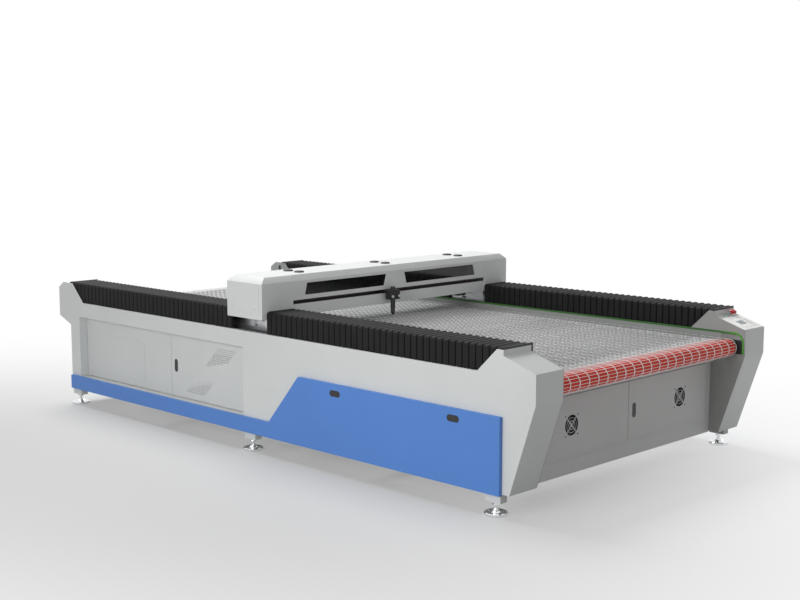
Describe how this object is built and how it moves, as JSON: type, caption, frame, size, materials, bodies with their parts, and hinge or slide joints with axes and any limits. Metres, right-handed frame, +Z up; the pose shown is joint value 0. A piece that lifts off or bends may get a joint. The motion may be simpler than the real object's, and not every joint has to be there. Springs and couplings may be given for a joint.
{
  "type": "carbon dioxide laser cutter",
  "caption": "Large flat-bed carbon dioxide laser cutter: moving gantry with cutting head over a wire mesh conveyor bed, bellows, side boxes, doors and levelling feet.",
  "frame": {"origin": "on the floor under the middle of the machine", "axes": "+Z up, +Y along the machine from the material mouth to the rear, +X to the console side"},
  "size_m": [2.202, 4.26, 1.054],
  "materials": {
    "panel_grey": "satin powder coat",
    "front_grey": "satin powder coat",
    "frame_grey": "matt paint",
    "blue": "satin powder coat",
    "green": "matt",
    "chrome": "polished",
    "steel": "brushed",
    "mesh": "bright wire",
    "aluminium": "anodised",
    "dark_metal": "matt black",
    "bellows": "matt coated fabric",
    "red_rubber": "satin",
    "black_plastic": "fine grain",
    "tinted": "clear tint",
    "tube_glass": "clear",
    "console_white": "gloss",
    "keypad": "membrane",
    "red_plastic": "gloss",
    "green_plastic": "gloss"
  },
  "bodies": {
    "base": {"frame_rails": "frame_grey", "frame_posts": "frame_grey", "cross_members": "frame_grey", "foot_pads": "chrome", "foot_studs": "chrome", "side_panels": "panel_grey", "inner_walls": "panel_grey", "front_corner_covers": "panel_grey", "rear_corner_covers": "panel_grey", "edge_trims": "green", "skirts": "blue", "recess_panels": "panel_grey", "access_cover": "panel_grey", "front_panel": "front_grey", "rear_panel": "front_grey", "hinge_posts": "dark_metal", "bed_table": "aluminium", "mesh_belt": "mesh", "roller_bearings": "dark_metal", "exhaust_hopper": "steel", "electronics_plate": "steel", "conveyor_motor": "dark_metal", "y_modules": "aluminium", "front_bellows": "bellows", "rear_bellows": "bellows", "bellows_end_frames": "dark_metal", "console_bezel": "console_white", "control_panel": "keypad", "button_bases": "steel"},
    "gantry": {"gantry_beam": "front_grey", "gantry_cover": "panel_grey", "gantry_windows": "tinted", "gantry_end_boxes": "panel_grey", "end_plates": "panel_grey", "top_caps": "black_plastic", "gantry_saddles": "aluminium", "laser_tube": "tube_glass", "optics_mounts": "dark_metal", "inner_baffle": "front_grey", "drag_chain": "black_plastic", "x_module": "dark_metal"},
    "head": {"head_carriage": "dark_metal", "bracket_knobs": "steel"},
    "focus_tube": {"lens_tube": "dark_metal"},
    "front_drum": {"front_roller": "steel", "roller_sleeve": "red_rubber"},
    "rear_drum": {"rear_roller": "steel"},
    "side_leaf": {"side_door": "panel_grey"},
    "left_front_leaf": {"left_front_door": "front_grey", "left_fan_housing": "black_plastic"},
    "right_front_leaf": {"right_front_door": "front_grey", "right_fan_housing": "black_plastic"},
    "side_latch": {"side_door_paddle": "black_plastic"},
    "front_latch": {"front_door_paddle": "black_plastic"},
    "skirt_latch_front": {"skirt_front_paddle": "black_plastic"},
    "skirt_latch_rear": {"skirt_rear_paddle": "black_plastic"},
    "left_rotor": {"left_fan_rotor": "black_plastic"},
    "right_rotor": {"right_fan_rotor": "black_plastic"},
    "stop_head": {"stop_button": "red_plastic"},
    "start_cap": {"start_button": "green_plastic"}
  },
  "joints": [
    {"name": "gantry_travel", "type": "slide", "parent": "base", "child": "gantry", "axis": [0, 1, 0], "range_m": [-1.5, 1.5], "deforming": ["front_bellows", "rear_bellows"]},
    {"name": "head_travel", "type": "slide", "parent": "gantry", "child": "head", "axis": [1, 0, 0], "range_m": [-0.74, 0.86], "deforming": ["drag_chain"]},
    {"name": "focus_slide", "type": "slide", "parent": "head", "child": "focus_tube", "axis": [0, 0, 1], "range_m": [-0.03, 0.03]},
    {"name": "front_drum_spin", "type": "hinge", "parent": "base", "child": "front_drum", "pos_m": [0, -2.043, 0.641], "axis": [1, 0, 0], "continuous": true},
    {"name": "rear_drum_spin", "type": "hinge", "parent": "base", "child": "rear_drum", "pos_m": [0, 2.04, 0.641], "axis": [1, 0, 0], "continuous": true},
    {"name": "side_door_swing", "type": "hinge", "parent": "base", "child": "side_leaf", "pos_m": [-1.014, 0.096, 0.4], "axis": [0, 0, 1], "range_deg": [0, 95]},
    {"name": "left_door_swing", "type": "hinge", "parent": "base", "child": "left_front_leaf", "pos_m": [-0.789, -1.914, 0.371], "axis": [0, 0, -1], "range_deg": [0, 95]},
    {"name": "right_door_swing", "type": "hinge", "parent": "base", "child": "right_front_leaf", "pos_m": [0.789, -1.914, 0.371], "axis": [0, 0, 1], "range_deg": [0, 95]},
    {"name": "side_latch_lift", "type": "hinge", "parent": "side_leaf", "child": "side_latch", "pos_m": [-1.005, 0.8425, 0.428], "axis": [0, 1, 0], "range_deg": [0, 28], "stiffness_Nm_per_rad": 0.05, "springref_deg": -5.73},
    {"name": "front_latch_lift", "type": "hinge", "parent": "right_front_leaf", "child": "front_latch", "pos_m": [0.054, -1.918, 0.394], "axis": [-1, 0, 0], "range_deg": [0, 28], "stiffness_Nm_per_rad": 0.05, "springref_deg": -5.73},
    {"name": "skirt_front_latch_lift", "type": "hinge", "parent": "base", "child": "skirt_latch_front", "pos_m": [-1.086, -1.593, 0.457], "axis": [0, 0, -1], "range_deg": [0, 28], "stiffness_Nm_per_rad": 0.05, "springref_deg": -5.73},
    {"name": "skirt_rear_latch_lift", "type": "hinge", "parent": "base", "child": "skirt_latch_rear", "pos_m": [-1.086, -0.716, 0.457], "axis": [0, 0, -1], "range_deg": [0, 28], "stiffness_Nm_per_rad": 0.05, "springref_deg": -5.73},
    {"name": "left_fan_spin", "type": "hinge", "parent": "left_front_leaf", "child": "left_rotor", "pos_m": [-0.508, -1.9, 0.377], "axis": [0, 1, 0], "continuous": true},
    {"name": "right_fan_spin", "type": "hinge", "parent": "right_front_leaf", "child": "right_rotor", "pos_m": [0.508, -1.9, 0.377], "axis": [0, 1, 0], "continuous": true},
    {"name": "stop_press", "type": "slide", "parent": "base", "child": "stop_head", "axis": [0, -0.3092, 0.951], "range_m": [-0.006, 0]},
    {"name": "start_press", "type": "slide", "parent": "base", "child": "start_cap", "axis": [0, -0.3092, 0.951], "range_m": [-0.0035, 0], "stiffness_N_per_m": 400, "springref_m": 0.002}
  ],
  "couplings": [
    {"joint": "rear_drum_spin", "follows": "front_drum_spin", "ratio": 1}
  ]
}
